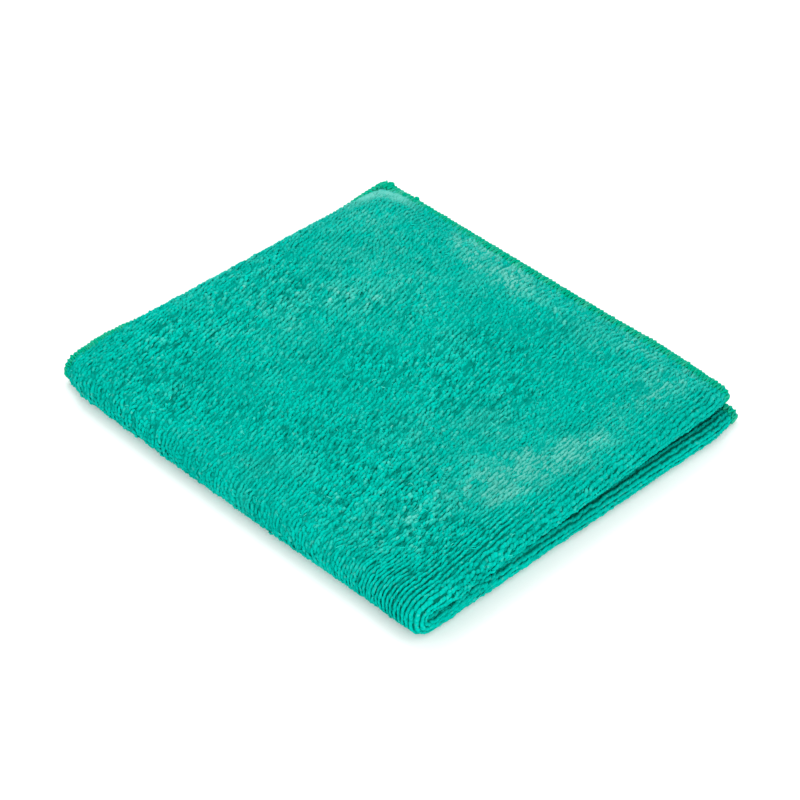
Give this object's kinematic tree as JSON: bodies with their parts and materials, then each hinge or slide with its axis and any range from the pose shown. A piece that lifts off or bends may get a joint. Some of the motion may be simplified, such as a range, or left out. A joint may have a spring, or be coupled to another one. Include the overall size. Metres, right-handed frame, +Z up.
{
  "type": "folded microfibre cloth",
  "caption": "Ribbed microfibre cleaning cloth with overlocked edges, folded in half and in half again, lying flat.",
  "frame": {"origin": "middle of the outline, on the surface that the cloth lies on", "axes": "+X across the ribs towards the pair of rolled edges, +Y along the ribs away from the single rolled edge, +Z up"},
  "size_m": [0.2014, 0.1752, 0.0188],
  "materials": {
    "microfibre_pile": "turquoise ribbed terry pile, matt with a soft sheen, overlocked edges in a greener thread"
  },
  "bodies": {
    "root": {"cloth": "microfibre_pile"}
  },
  "joints": []
}
